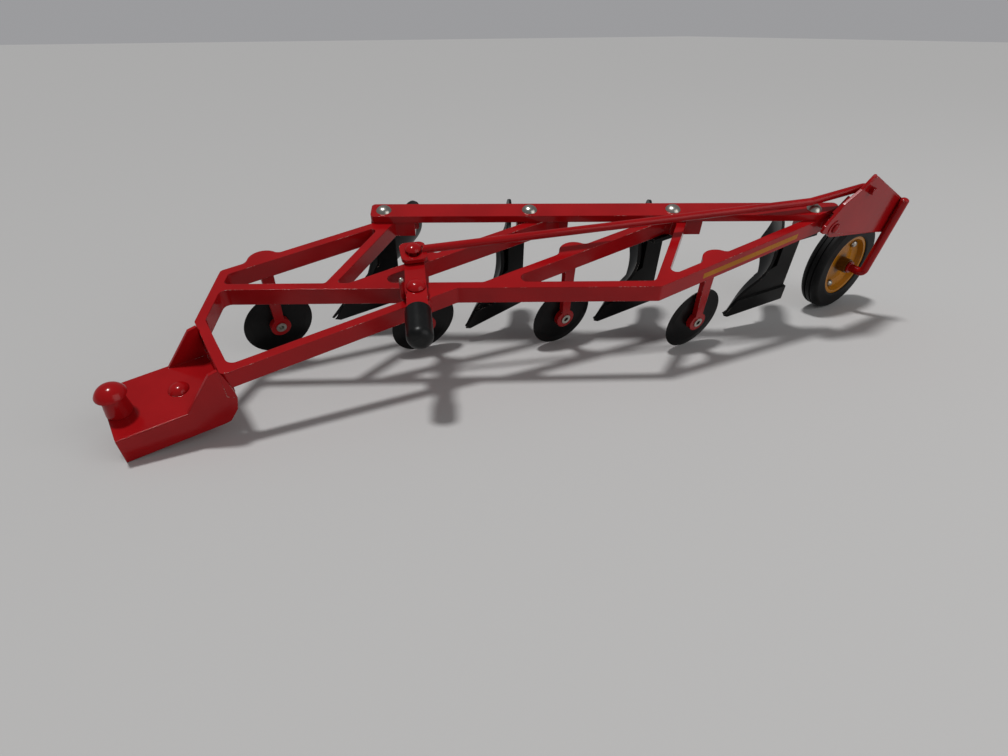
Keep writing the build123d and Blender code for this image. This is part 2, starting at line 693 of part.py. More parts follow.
seat = lathe(0, DRAW_RIVET_Y, 0, UP, BACK)
with BuildPart() as drawbar_rivet:
    with BuildSketch(seat):
        rivet_outline(RIVET_R, DRAW_RIVET_HEAD_R, DRAW_RIVET_HEAD_H, SHEET + TONGUE_THICK, TAIL_R, 0.6)
    revolve(axis=Axis(seat.origin, UP))
finish(drawbar_rivet.part, "drawbar_rivet")

seat = lathe(0, 0, 0, UP, BACK)
with BuildPart() as hitch_pin:
    with BuildSketch(seat):
        head_top = PIN_HEAD_Z + PIN_HEAD_H
        with BuildLine():
            ThreePointArc(
                (0, head_top),
                (PIN_HEAD_R * 0.78, head_top - PIN_HEAD_H * 0.42),
                (PIN_HEAD_R, PIN_HEAD_Z + 0.5),
            )
            Polyline(
                (PIN_HEAD_R, PIN_HEAD_Z + 0.5),
                (PIN_HEAD_R - 0.6, PIN_HEAD_Z),
                (PIN_NECK_R, PIN_HEAD_Z - 0.6),
                (PIN_FOOT_R, 0),
                (PIN_SHOULDER_R, 0),
                (PIN_SHOULDER_R, -SHEET),
                (PIN_STEM_R, -SHEET),
                (PIN_STEM_R, -PIN_STEM_END),
                (0, -PIN_STEM_END),
                (0, head_top),
            )
        make_face()
    revolve(axis=Axis(seat.origin, UP))
finish(hitch_pin.part, "hitch_pin")

# ================================================================ lift lever, grip and rivets
eye_at = (PIVOT[0] - LEVER_ARM * lever_dir[0], PIVOT[1] - LEVER_ARM * lever_dir[1])


def on_lever(along, across=0.0):
    """A point along the lever from its pivot, and across it to its rear."""
    return (PIVOT[0] + along * lever_dir[0] - across * lever_dir[1],
            PIVOT[1] + along * lever_dir[1] + across * lever_dir[0])


with BuildPart() as lift_lever:
    with BuildSketch(level(lever_z)):
        with BuildLine():
            half = LEVER_WIDTH / 2
            ThreePointArc(
                on_lever(-LEVER_ARM, half), on_lever(-LEVER_ARM - half), on_lever(-LEVER_ARM, -half)
            )
            Polyline(
                on_lever(-LEVER_ARM, -half),
                on_lever(GRIP_START - 0.5, -half),
                on_lever(GRIP_START - 0.5, -TANG_WIDTH / 2),
                on_lever(GRIP_START + GRIP_LENGTH - 4, -TANG_WIDTH / 2),
                on_lever(GRIP_START + GRIP_LENGTH - 4, TANG_WIDTH / 2),
                on_lever(GRIP_START - 0.5, TANG_WIDTH / 2),
                on_lever(GRIP_START - 0.5, half),
                on_lever(-LEVER_ARM, half),
            )
        make_face()
        with Locations(PIVOT, eye_at):
            Circle(RIVET_R + FIT, mode=Mode.SUBTRACT)
    extrude(amount=LEVER_THICK)
finish(lift_lever.part, "lift_lever")

grip_plane = Plane(
    origin=at(*PIVOT, lever_z + LEVER_THICK / 2),
    x_dir=UP,
    z_dir=UP.cross(LEFT * lever_dir[0] + BACK * lever_dir[1]),
)
with BuildPart() as lever_grip:
    with BuildSketch(grip_plane):
        with BuildLine():
            Polyline(
                (0, GRIP_START),
                (GRIP_R - 0.6, GRIP_START),
                (GRIP_R, GRIP_START + 0.6),
                (GRIP_R, GRIP_START + GRIP_LENGTH - 3),
            )
            ThreePointArc(
                (GRIP_R, GRIP_START + GRIP_LENGTH - 3),
                (GRIP_R * 0.82, GRIP_START + GRIP_LENGTH - 1.0),
                (GRIP_R * 0.4, GRIP_START + GRIP_LENGTH),
            )
            Polyline(
                (GRIP_R * 0.4, GRIP_START + GRIP_LENGTH), (0, GRIP_START + GRIP_LENGTH), (0, GRIP_START)
            )
        make_face()
    revolve(axis=Axis(grip_plane.origin, grip_plane.y_dir))
    tang_start = at(*on_lever(GRIP_START - 1), lever_z + LEVER_THICK / 2)
    with BuildSketch(Plane(origin=tang_start, x_dir=UP, z_dir=grip_plane.y_dir)):
        Rectangle(LEVER_THICK + 0.1, TANG_WIDTH + 0.1)
    extrude(amount=GRIP_LENGTH - 2.9, mode=Mode.SUBTRACT)
finish(lever_grip.part, "lever_grip")

seat = lathe(*PIVOT, lever_z + LEVER_THICK + RUN_GAP, UP, BACK)
with BuildPart() as lever_pivot_rivet:
    with BuildSketch(seat):
        through = LEVER_THICK + RUN_GAP + LEVER_LIFT + BEAM_DEPTH
        rivet_outline(RIVET_R, LEVER_RIVET_HEAD_R, LEVER_RIVET_HEAD_H, through, TAIL_R, 0.6)
    revolve(axis=Axis(seat.origin, UP))
finish(lever_pivot_rivet.part, "lever_pivot_rivet")

seat = lathe(*eye_at, eye_z + EYE_PLATE + EYE_GAP_ABOVE, UP, BACK)
with BuildPart() as rod_rivet:
    with BuildSketch(seat):
        through = EYE_PLATE + EYE_GAP_BELOW + EYE_GAP_ABOVE + LEVER_THICK
        rivet_outline(RIVET_R, RIVET_HEAD_R, RIVET_HEAD_H, through, TAIL_R, 0.6)
    revolve(axis=Axis(seat.origin, UP))
finish(rod_rivet.part, "rod_rivet")

# ================================================================ lift rod
hook_x = bracket_x - RUN_GAP - ROD_R
rod_end = (hook_x, *rod_eye)
run = (rod_eye[0] - eye_at[1])
bend_y = pivot_y + ROD_BEND_BACK
bend_share = (bend_y - eye_at[1]) / run
rod_turn = math.degrees(math.atan2(-(hook_x - eye_at[0]), run))
bend = (eye_at[0] + bend_share * (hook_x - eye_at[0]), bend_y, rod_z)
with BuildPart() as lift_rod:
    start_share = EYE_LENGTH * 0.3 / run
    start = (eye_at[0] + start_share * (hook_x - eye_at[0]), eye_at[1] + start_share * run, rod_z)
    wire([start, bend, rod_end, (bracket_x + SHEET + 2.0, *rod_eye)], ROD_R, 2.2)
    # flattened eye over the lever's end, slotted across the rod
    with BuildSketch(level(eye_z)):
        with Locations(eye_at):
            RectangleRounded(EYE_WIDTH, EYE_LENGTH, EYE_CORNER, rotation=rod_turn)
    extrude(amount=EYE_PLATE)
    with BuildSketch(level(eye_z - 1)):
        with Locations(Location((eye_at[0], eye_at[1]), rod_turn)):
            SlotCenterToCenter(2 * EYE_SLOT, 2 * (RIVET_R + EYE_PLAY))
    extrude(amount=6, mode=Mode.SUBTRACT)
    with BuildSketch(level(eye_z + EYE_PLATE)):
        with Locations(eye_at):
            Circle(RIVET_HEAD_R + 0.5)
    extrude(amount=6, mode=Mode.SUBTRACT)
finish(lift_rod.part, "lift_rod")

# ================================================================ wheel bracket, pin, axle and wheel
with BuildPart() as wheel_bracket:
    with BuildSketch(side(bracket_x)):
        with BuildSketch(mode=Mode.PRIVATE) as corners:
            for centre, radius in BRACKET_CORNERS:
                with Locations(from_pivot(*centre)):
                    Circle(radius)
        make_hull(corners.sketch.edges())
        with Locations(bracket_pivot):
            Circle(RIVET_R + FIT, mode=Mode.SUBTRACT)
        with Locations(rod_eye):
            Circle(ROD_R + FIT, mode=Mode.SUBTRACT)
    extrude(amount=SHEET)
    # folded strip along the front edge
    with BuildSketch(side(bracket_x)):
        (y0, z0), (y1, z1) = (from_pivot(*centre) for centre, _ in BRACKET_CORNERS[:2])
        r0, r1 = BRACKET_CORNERS[0][1], BRACKET_CORNERS[1][1]
        slope = math.atan2(z1 - z0, y1 - y0) + math.asin((r0 - r1) / math.hypot(y1 - y0, z1 - z0)) * -1
        edge = (-math.sin(slope), math.cos(slope))
        ahead = (math.cos(slope), math.sin(slope))
        first = (y0 + edge[0] * r0 + ahead[0] * FLANGE_FROM, z0 + edge[1] * r0 + ahead[1] * FLANGE_FROM)
        last = (y0 + edge[0] * r0 + ahead[0] * FLANGE_TO, z0 + edge[1] * r0 + ahead[1] * FLANGE_TO)
        with BuildLine():
            Polyline(
                first,
                last,
                (last[0] - edge[0] * SHEET, last[1] - edge[1] * SHEET),
                (first[0] - edge[0] * SHEET, first[1] - edge[1] * SHEET),
                close=True,
            )
        make_face()
    extrude(amount=-BRACKET_FLANGE)
finish(wheel_bracket.part, "wheel_bracket")

pin_seat = bracket_x + SHEET + RUN_GAP
seat = lathe(pin_seat, *bracket_pivot, LEFT, UP)
with BuildPart() as bracket_pin:
    with BuildSketch(seat):
        through = pin_seat - (beam_x[3] - BEAM_WIDTH / 2)
        rivet_outline(RIVET_R, 2.2, 0.8, through, 1.1, 0.5)
    revolve(axis=Axis(seat.origin, LEFT))
finish(bracket_pin.part, "bracket_pin")

def on_axle(along):
    """A point on the axle, from where it passes the wheel's near face to its left."""
    return (wheel_x + axle.X * along, wheel_y + axle.Y * along, wheel_z + axle.Z * along)


wire_x = bracket_x + SHEET + AXLE_R
square_to_axle = AXLE.cross(BACK).normalized()
with BuildPart() as wheel_axle:
    corner = on_axle((wire_x - wheel_x) / axle.X)
    wire([(wire_x, *from_pivot(*WIRE_TOP)), corner, on_axle(-TYRE_WIDTH - 2.6)], AXLE_R, 2.4)
    with BuildSketch(Plane(origin=at(*on_axle(HUB_PROUD + RUN_GAP)), x_dir=square_to_axle, z_dir=AXLE)):
        Circle(AXLE_R + 0.9)
    extrude(amount=0.8)
finish(wheel_axle.part, "wheel_axle")

hub_plane = lathe(wheel_x, wheel_y, wheel_z, -AXLE, square_to_axle)
with BuildPart() as wheel_hub:
    with BuildSketch(hub_plane):
        bore = AXLE_R + FIT
        with BuildLine():
            Polyline(
                (bore, -HUB_PROUD),
                (HUB_R, -HUB_PROUD),
                (HUB_R, 3.4),
                (9.5, 4.2),
                (12.6, 3.2),
                (13.4, RIM_INSET),
                (RIM_R - 0.05, RIM_INSET),
                (RIM_R - 0.05, TYRE_WIDTH - RIM_INSET),
                (13.4, TYRE_WIDTH - RIM_INSET),
                (12.6, 5.0),
                (9.5, 5.8),
                (HUB_R, 5.2),
                (HUB_R, TYRE_WIDTH + 0.8),
                (bore, TYRE_WIDTH + 0.8),
                close=True,
            )
        make_face()
    revolve(axis=Axis(hub_plane.origin, AXLE))
finish(wheel_hub.part, "wheel_hub")

with BuildPart() as axle_cap:
    cap_seat = at(*on_axle(-TYRE_WIDTH - 0.8 - RUN_GAP))
    with BuildSketch(Plane(origin=cap_seat, x_dir=square_to_axle, z_dir=AXLE)):
        Circle(AXLE_R + 1.6)
        Circle(AXLE_R + FIT, mode=Mode.SUBTRACT)
    extrude(amount=-0.9)
finish(axle_cap.part, "axle_cap")

with BuildPart() as wheel_tyre:
    with BuildSketch(hub_plane):
        flank, shoulder = TYRE_R - 2.2, TYRE_R - 0.55
        with BuildLine():
            Polyline((RIM_R, 0.3), (RIM_R + 0.8, 0), (flank, 0))
            ThreePointArc((flank, 0), (shoulder, 0.9), (TYRE_R, 2.2))
            # ribs and the grooves between them
            Polyline(
                (TYRE_R, 2.2),
                (TYRE_R, TREAD_FROM),
                (TYRE_R - GROOVE, TREAD_FROM),
                (TYRE_R - GROOVE, TREAD_FROM + GROOVE_WIDTH),
                (TYRE_R, TREAD_FROM + GROOVE_WIDTH),
                (TYRE_R, TYRE_WIDTH - TREAD_FROM - GROOVE_WIDTH),
                (TYRE_R - GROOVE, TYRE_WIDTH - TREAD_FROM - GROOVE_WIDTH),
                (TYRE_R - GROOVE, TYRE_WIDTH - TREAD_FROM),
                (TYRE_R, TYRE_WIDTH - TREAD_FROM),
                (TYRE_R, TYRE_WIDTH - 2.2),
            )
            ThreePointArc((TYRE_R, TYRE_WIDTH - 2.2), (shoulder, TYRE_WIDTH - 0.9), (flank, TYRE_WIDTH))
            Polyline((flank, TYRE_WIDTH), (RIM_R + 0.8, TYRE_WIDTH), (RIM_R, TYRE_WIDTH - 0.3), (RIM_R, 0.3))
        make_face()
    revolve(axis=Axis(hub_plane.origin, AXLE))
finish(wheel_tyre.part, "wheel_tyre")


def show(name, point):
    """Prints where a point given in frame coordinates ends up, in metres."""
    where = at(*point)
    print(name, [round(v / 1000, 6) for v in (where.X, where.Y, where.Z)])


show("hitch_pin", (0, 0, 0))
for i in range(4):
    show(f"coulter_{i + 1}", (disc_x[i], coulter_y[i], coulter_z[i]))
show("lever", (*PIVOT, lever_z))
show("lever_eye", (*eye_at, eye_z))
show("bracket", (bracket_x, *bracket_pivot))
show("rod_hook", (bracket_x, *rod_eye))
show("wheel", on_axle(-TYRE_WIDTH / 2))
print("axes LEFT", tuple(LEFT), "BACK", tuple(BACK), "UP", tuple(UP))
print("axle", [round(v, 6) for v in AXLE])
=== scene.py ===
"""Looks of the toy moldboard plough: enamel, vinyl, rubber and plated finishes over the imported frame, with
the small parts that only the eye needs, under soft light on a plain pale floor."""

import json
import logging
import math
from dataclasses import dataclass, replace
from enum import Enum
from typing import Mapping, Optional, Sequence, Union

import bmesh
import bpy
from mathutils import Matrix, Vector

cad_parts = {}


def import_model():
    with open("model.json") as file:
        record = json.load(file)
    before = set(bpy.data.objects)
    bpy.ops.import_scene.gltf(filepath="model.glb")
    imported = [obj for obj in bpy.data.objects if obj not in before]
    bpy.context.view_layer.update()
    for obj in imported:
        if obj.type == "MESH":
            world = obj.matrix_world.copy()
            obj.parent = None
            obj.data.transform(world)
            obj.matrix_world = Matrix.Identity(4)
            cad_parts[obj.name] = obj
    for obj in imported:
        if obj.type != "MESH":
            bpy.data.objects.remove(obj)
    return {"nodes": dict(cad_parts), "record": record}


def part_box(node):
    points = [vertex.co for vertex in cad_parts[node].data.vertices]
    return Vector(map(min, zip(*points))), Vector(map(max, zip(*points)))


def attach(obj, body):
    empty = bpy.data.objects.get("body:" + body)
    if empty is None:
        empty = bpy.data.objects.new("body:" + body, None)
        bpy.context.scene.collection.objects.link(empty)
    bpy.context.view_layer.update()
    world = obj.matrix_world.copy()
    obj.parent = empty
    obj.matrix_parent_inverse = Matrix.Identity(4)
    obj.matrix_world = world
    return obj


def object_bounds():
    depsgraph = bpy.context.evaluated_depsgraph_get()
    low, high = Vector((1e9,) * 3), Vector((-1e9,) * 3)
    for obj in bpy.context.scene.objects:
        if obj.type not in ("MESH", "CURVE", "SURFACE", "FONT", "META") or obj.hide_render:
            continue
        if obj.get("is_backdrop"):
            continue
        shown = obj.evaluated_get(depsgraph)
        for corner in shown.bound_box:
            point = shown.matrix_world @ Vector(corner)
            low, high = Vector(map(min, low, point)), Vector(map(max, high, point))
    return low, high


LOG = logging.getLogger("plough")
MM = 0.001

Colour = tuple[float, float, float]
Pair = tuple[float, float]
Triple = tuple[float, float, float]
Materials = dict[str, bpy.types.Material]
Number = Union[float, "Wire"]

# ---------------------------------------------------------------- how the plough leans in the row's axes
PITCH = math.radians(9.2)  # nose down
ROLL = math.radians(17.0)  # left side down
LEFT = Vector((math.cos(ROLL), math.sin(ROLL) * math.sin(PITCH), -math.sin(ROLL) * math.cos(PITCH)))
BACK = Vector((0.0, math.cos(PITCH), math.sin(PITCH)))
UP = LEFT.cross(BACK)
PLATE_THICK = 1.2  # millimetres from the origin up to the drawbar's top face


def spot(left: float, back: float, up: float) -> Vector:
    """A place in the row's frame.

    Args:
        left: millimetres to the plough's left of the hitch pin.
        back: millimetres behind the hitch pin.
        up: millimetres over the drawbar's plate.

    Returns:
        The place, in metres.
    """
    return (LEFT * left + BACK * back + UP * (up + PLATE_THICK)) * MM


# ================================================================ shader nodes
class Wire:
    """A node socket that can be added, scaled and mixed like a number."""

    MIX_LOW, MIX_HIGH, MIX_RESULT = 6, 7, 2  # the Mix node's colour sockets

    def __init__(self, graph: "Graph", socket: bpy.types.NodeSocket) -> None:
        """Wraps an output socket of a graph."""
        self.graph = graph
        self.socket = socket

    def _math(self, operation: str, first: Number, second: Number) -> "Wire":
        """What a new Math node makes of two numbers or wires."""
        return self.graph.node("ShaderNodeMath", "Value", {0: first, 1: second}, operation=operation)

    def __add__(self, other: Number) -> "Wire":
        """This plus another."""
        return self._math("ADD", self, other)

    def __radd__(self, other: Number) -> "Wire":
        """Another plus this."""
        return self._math("ADD", other, self)

    def __sub__(self, other: Number) -> "Wire":
        """This less another."""
        return self._math("SUBTRACT", self, other)

    def __rsub__(self, other: Number) -> "Wire":
        """Another less this."""
        return self._math("SUBTRACT", other, self)

    def __mul__(self, other: Number) -> "Wire":
        """This times another."""
        return self._math("MULTIPLY", self, other)

    def __rmul__(self, other: Number) -> "Wire":
        """Another times this."""
        return self._math("MULTIPLY", other, self)

    def dot(self, other: "Wire") -> "Wire":
        """The dot product with another vector."""
        return self.graph.node("ShaderNodeVectorMath", "Value", {0: self, 1: other}, operation="DOT_PRODUCT")

    def above(self, limit: float, width: float) -> "Wire":
        """0 below a limit and 1 above it, over a soft step of the given width."""
        ends = {"Value": self, "From Min": limit - width / 2, "From Max": limit + width / 2}
        return self.graph.node("ShaderNodeMapRange", "Result", ends, interpolation_type="SMOOTHSTEP")

    def blend(self, low: Union[Colour, "Wire"], high: Union[Colour, "Wire"]) -> "Wire":
        """A mix of two colours, with this as the share of the second."""
        ends = {0: self, self.MIX_LOW: low, self.MIX_HIGH: high}
        return self.graph.node("ShaderNodeMix", self.MIX_RESULT, ends, data_type="RGBA")


class Graph:
    """A material's or the world's node tree."""

    def __init__(self, tree: bpy.types.NodeTree) -> None:
        """Wraps the tree that nodes go into."""
        self.tree = tree

    def feed(self, socket: bpy.types.NodeSocket, value: object) -> None:
        """Sets or links an input.

        Args:
            socket: the input.
            value: a wire, a number, a colour or a vector.
        """
        if isinstance(value, Wire):
            self.tree.links.new(value.socket, socket)
        elif isinstance(value, (int, float)):
            socket.default_value = value
        else:
            socket.default_value = (*value, 1.0)[: len(socket.default_value)]

    def node(
        self,
        kind: str,
        output: Union[str, int],
        inputs: Optional[Mapping[Union[str, int], object]] = None,
        **settings: object,
    ) -> Wire:
        """Adds a node.

        Args:
            kind: the node's type name.
            output: the output to return, by its name or its place.
            inputs: what goes into its inputs, by their names or places.
            settings: the node's own properties, which are set first.

        Returns:
            The output.
        """
        made = self.tree.nodes.new(kind)
        for name, value in settings.items():
            setattr(made, name, value)
        for key, value in (inputs or {}).items():
            self.feed(made.inputs[key], value)
        return Wire(self, made.outputs[output])

    def place(self) -> Wire:
        """Object coordinates, in metres."""
        return self.node("ShaderNodeTexCoord", "Object")

    def noise(self, scale: float, detail: float = 2.0, rough: float = 0.5) -> Wire:
        """Cloudy noise from 0 to 1, by its bumps per metre, its octaves and how strong the fine ones are."""
        inputs = {"Vector": self.place(), "Scale": scale, "Detail": detail, "Roughness": rough}
        return self.node("ShaderNodeTexNoise", "Fac", inputs)

    def distance(self, centre: Vector) -> Wire:
        """How far the surface is from a place, in metres."""
        return self.node("ShaderNodeVectorMath", "Value", {0: self.place(), 1: centre}, operation="DISTANCE")

    def rounded_normal(self, radius: float) -> Wire:
        """The normal of the surface as if its edges were rounded to a radius, in metres."""
        return self.node("ShaderNodeBevel", "Normal", {"Radius": radius}, samples=6)

    def edges(self, radius: float) -> Wire:
        """0 on flat surface, rising to about 0.3 at a sharp edge, from a radius away in metres."""
        flat = self.node("ShaderNodeNewGeometry", "Normal")
        return 1.0 - self.rounded_normal(radius).dot(flat)


# ================================================================ finishes
@dataclass(frozen=True)
class Finish:
    """How a surface looks.

    Attributes:
        base: its linear colour.
        rough: its roughness.
        metallic: 1 for bare metal.
        shine: its specular level, 0.5 for plain glossy stuff.
        mottle: how far roughness wanders.
        grain: waves of the surface, per metre.
        relief: height of those waves, in metres.
        round: radius that sharp edges seem to have, in metres.
        wear: how much of the edges is rubbed bare.
        bare: colour under the worn paint.
        dust: how much grey dust lies on it.
        painted_shade: place, radius and colour of a dark ring of painted shade, in metres.
    """

    base: Colour
    rough: float
    metallic: float = 0.0
    shine: float = 0.5
    mottle: float = 0.1
    grain: float = 400.0
    relief: float = 0.00002
    round: float = 0.0003
    wear: float = 0.0
    bare: Colour = (0.55, 0.50, 0.44)
    dust: float = 0.0
    # painted shade: a dark ring painted into the colour where a recess lies in shade
    painted_shade: Optional[tuple[Vector, float, Colour]] = None


class Slot(Enum):
    """The record's material slots and their finishes."""

    RED_ENAMEL = Finish((0.34, 0.0045, 0.0065), 0.16, shine=0.22, round=0.0004, wear=1.0)
    BLACK_ENAMEL = Finish((0.0018, 0.0018, 0.002), 0.36, shine=0.16, mottle=0.2, wear=0.5, dust=0.03)
    NICKEL = Finish((0.50, 0.48, 0.43), 0.30, metallic=1.0, mottle=0.2, round=0.0001)
    BLACK_VINYL = Finish((0.0024, 0.0027, 0.003), 0.34, shine=0.24, grain=900.0, dust=0.03)
    GOLD_ENAMEL = Finish((0.46, 0.175, 0.006), 0.26, shine=0.25, wear=0.3, dust=0.03)
    BLACK_RUBBER = Finish(
        (0.002, 0.0021, 0.0024), 0.50, shine=0.14, mottle=0.15, grain=700.0, relief=0.00004, dust=0.04
    )

    @property
    def label(self) -> str:
        """The slot's name in the record."""
        return self.name.lower()


@dataclass(frozen=True)
class Weather:
    """Patterns that the finishes share. A step is given by where it is and how wide it is.

    Attributes:
        cloud: (bumps per metre, octaves) of the slow wandering of colour and gloss.
        cloud_step: the step between the deep and the plain colour.
        deep: share of the colour that is left where it is deepest.
        shade_ragged: how uneven the edge of a ring of painted shade is.
        shade_tone: how fully the painted shade covers the colour.
        shade_step: the step at the ring's radius, as a share of it.
        shade_rough: how much rougher the surface is inside the ring of painted shade.
        dust: the dust's colour.
        dust_fine: how much the fine waves steer where it settles.
        dust_step: the step over which it settles.
        dust_rough: how much rougher dust is.
        edge: how far from an edge paint rubs off, in metres.
        edge_step: the step at such an edge.
        patch: (bumps per metre, octaves) of the rubbed patches.
        patch_step: the step at their borders.
        patch_grow: how much further full wear spreads them.
        speck: (bumps per metre, octaves, roughness) of the bare specks in a patch.
        speck_step: the step at their borders.
        bare_rough: how much rougher bare metal is.
        bump: strength of the surface's waves.
    """

    cloud: Pair = (60.0, 3.0)
    cloud_step: Pair = (0.5, 0.5)
    deep: float = 0.82
    # painted shade: how the dark ring round the hub's axle is laid
    shade_ragged: float = 0.3
    shade_tone: float = 0.85
    shade_step: Pair = (1.0, 0.5)
    shade_rough: float = 0.1
    dust: Colour = (0.16, 0.155, 0.145)
    dust_fine: float = 0.5
    dust_step: Pair = (0.82, 0.5)
    dust_rough: float = 0.5
    edge: float = 0.00025
    edge_step: Pair = (0.05, 0.05)
    patch: Pair = (90.0, 3.0)
    patch_step: Pair = (0.64, 0.06)
    patch_grow: float = 0.06
    speck: Triple = (1300.0, 2.0, 0.6)
    speck_step: Pair = (0.52, 0.1)
    bare_rough: float = 0.3
    bump: float = 0.3


def principled(material: bpy.types.Material) -> bpy.types.Node:
    """The shader node of a new material.

    Args:
        material: the material.

    Returns:
        Its Principled node.
    """
    return next(node for node in material.node_tree.nodes if node.type == "BSDF_PRINCIPLED")


class Surface:
    """A finish laid on a new material, one layer after another."""

    MIDDLE = 0.5  # the value that noise wanders about

    def __init__(self, name: str, finish: Finish, weather: Weather) -> None:
        """Starts with the plain colour and gloss.

        Args:
            name: the material's name.
            finish: what it should look like.
            weather: the patterns that its layers follow.
        """
        self.material = bpy.data.materials.new(name)
        self.material.use_nodes = True
        self.finish = finish
        self.weather = weather
        self.graph = Graph(self.material.node_tree)
        self.cloud = self.graph.noise(*weather.cloud)
        self.fine = self.graph.noise(finish.grain)
        deep = tuple(weather.deep * part for part in finish.base)
        self.colour = self.cloud.above(*weather.cloud_step).blend(deep, finish.base)
        self.rough = finish.rough + (self.cloud - self.MIDDLE) * finish.mottle

    def add_painted_shade(self, centre: Vector, radius: float, shade_colour: Colour) -> None:
        """Lays a ring of painted shade, darker and a little rougher inside.

        Args:
            centre: its middle, in metres.
            radius: of the ring, in metres.
            shade_colour: its colour.
        """
        # painted shade: darker near the centre, standing in for the shade in the dished hub
        near = self.graph.distance(centre) * (1.0 / radius) + (self.fine - self.MIDDLE) * self.weather.shade_ragged
        shade_cover = 1.0 - near.above(*self.weather.shade_step)
        self.colour = (shade_cover * self.weather.shade_tone).blend(self.colour, shade_colour)
        self.rough = self.rough + shade_cover * self.weather.shade_rough

    def add_dust(self) -> None:
        """Lays grey dust in soft patches."""
        drift = self.cloud + self.fine * self.weather.dust_fine
        settled = drift.above(*self.weather.dust_step) * self.finish.dust
        self.colour = settled.blend(self.colour, self.weather.dust)
        self.rough = self.rough + settled * self.weather.dust_rough

    def add_wear(self) -> None:
        """Rubs specks of the edges bare."""
        weather = self.weather
        limit, width = weather.patch_step
        edge = self.graph.edges(weather.edge).above(*weather.edge_step)
        patch = self.graph.noise(*weather.patch).above(limit - weather.patch_grow * self.finish.wear, width)
        worn = edge * patch * self.graph.noise(*weather.speck).above(*weather.speck_step)
        self.colour = worn.blend(self.colour, self.finish.bare)
        self.rough = self.rough + worn * weather.bare_rough

    def bumps(self) -> Wire:
        """The normal of the fine waves over softly rounded edges.

        Returns:
            The normal.
        """
        inputs = {
            "Strength": self.weather.bump,
            "Distance": self.finish.relief,
            "Height": self.fine,
            "Normal": self.graph.rounded_normal(self.finish.round),
        }
        return self.graph.node("ShaderNodeBump", "Normal", inputs)

    def make(self) -> bpy.types.Material:
        """Lays every layer that the finish has and joins them to the shader.

        Returns:
            The material.
        """
        # painted shade: a dark ring, where the finish has one
        if self.finish.painted_shade:
            self.add_painted_shade(*self.finish.painted_shade)
        if self.finish.dust:
            self.add_dust()
        if self.finish.wear:
            self.add_wear()
        shader = principled(self.material)
        shader.inputs["Metallic"].default_value = self.finish.metallic
        shader.inputs["Specular IOR Level"].default_value = self.finish.shine
        self.graph.feed(shader.inputs["Base Color"], self.colour)
        self.graph.feed(shader.inputs["Roughness"], self.rough)
        self.graph.feed(shader.inputs["Normal"], self.bumps())
        return self.material


# ================================================================ meshes
class Piece:
    """A mesh that only the eye needs, riding on a body of the frame."""

    def __init__(self, name: str, body: str, slot: Slot) -> None:
        """Starts an empty piece.

        Args:
            name: its object name.
            body: the frame's body that it moves with.
            slot: its material slot.
        """
        self.name = name
        self.body = body
        self.slot = slot
        self.mesh = bmesh.new()

    def turned(self, centre: Vector, axis: Vector, profile: Sequence[Pair], steps: int) -> None:
        """Adds a turned solid.

        Args:
            centre: where its profile's height is 0, in metres.
            axis: the direction of height.
            profile: (radius, height) in millimetres, from one end on the axis to the other.
            steps: how many lengths round it is made of.
        """
        turn = axis.to_track_quat("Z", "Y").to_matrix()
        rows = []
        for radius, height in profile:
            row = []
            for i in range(steps if radius > 0 else 1):
                a = 2 * math.pi * i / steps
                local = Vector((radius * math.cos(a), radius * math.sin(a), height)) * MM
                row.append(self.mesh.verts.new(centre + turn @ local))
            rows.append(row)
        for low, high in zip(rows, rows[1:]):
            for i in range(steps):
                j = i + 1
                ring = (low[i % len(low)], low[j % len(low)], high[j % len(high)], high[i % len(high)])
                corners = list(dict.fromkeys(ring))  # each only once, where a row is a single point
                if len(corners) > 2:
                    self.mesh.faces.new(corners)

    def prism(self, outline: Sequence[Vector], thick: Vector) -> None:
        """Adds a flat plate of any outline.

        Args:
            outline: its corners in order, in metres.
            thick: its thickness.
        """
        near = [self.mesh.verts.new(corner) for corner in outline]
        far = [self.mesh.verts.new(corner + thick) for corner in outline]
        self.mesh.faces.new(near)
        self.mesh.faces.new(far[::-1])
        for i in range(len(outline)):
            j = (i + 1) % len(outline)
            self.mesh.faces.new((near[j], near[i], far[i], far[j]))

    def make(self, materials: Materials, smooth: bool = False, finish: Optional[str] = None) -> None:
        """Turns the piece into an object that rides on its body.

        Args:
            materials: the finishes by name.
            smooth: whether its faces are shaded smooth.
            finish: its own finish, where it isn't the slot's.
        """
        bmesh.ops.recalc_face_normals(self.mesh, faces=self.mesh.faces)
        data = bpy.data.meshes.new(self.name)
        self.mesh.to_mesh(data)
        self.mesh.free()
        for polygon in data.polygons:
            polygon.use_smooth = smooth
        data.materials.append(materials[finish or self.slot.label])
        made = bpy.data.objects.new(self.name, data)
        bpy.context.scene.collection.objects.link(made)
        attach(made, self.body)
        LOG.info("%s: %d faces on %s", self.name, len(data.polygons), self.body)


def rounded(corners: Sequence[Triple], steps: int = 6) -> list[Pair]:
    """Rounds the corners of an outline.

    Args:
        corners: (back, up, radius) of each, in order.
        steps: lengths in each rounding.

    Returns:
        The outline's points.
    """
    points = []
    for i, (back, up, radius) in enumerate(corners):
        here = Vector((back, up))
        before = (Vector(corners[i - 1][:2]) - here).normalized()
        after = (Vector(corners[(i + 1) % len(corners)][:2]) - here).normalized()
        half = before.angle(after) / 2
        centre = here + (before + after).normalized() * radius / math.sin(half)
        start = here + before * radius / math.tan(half) - centre
        stop = here + after * radius / math.tan(half) - centre
        points += [tuple(centre + start.slerp(stop, k / steps)) for k in range(steps + 1)]
    return points


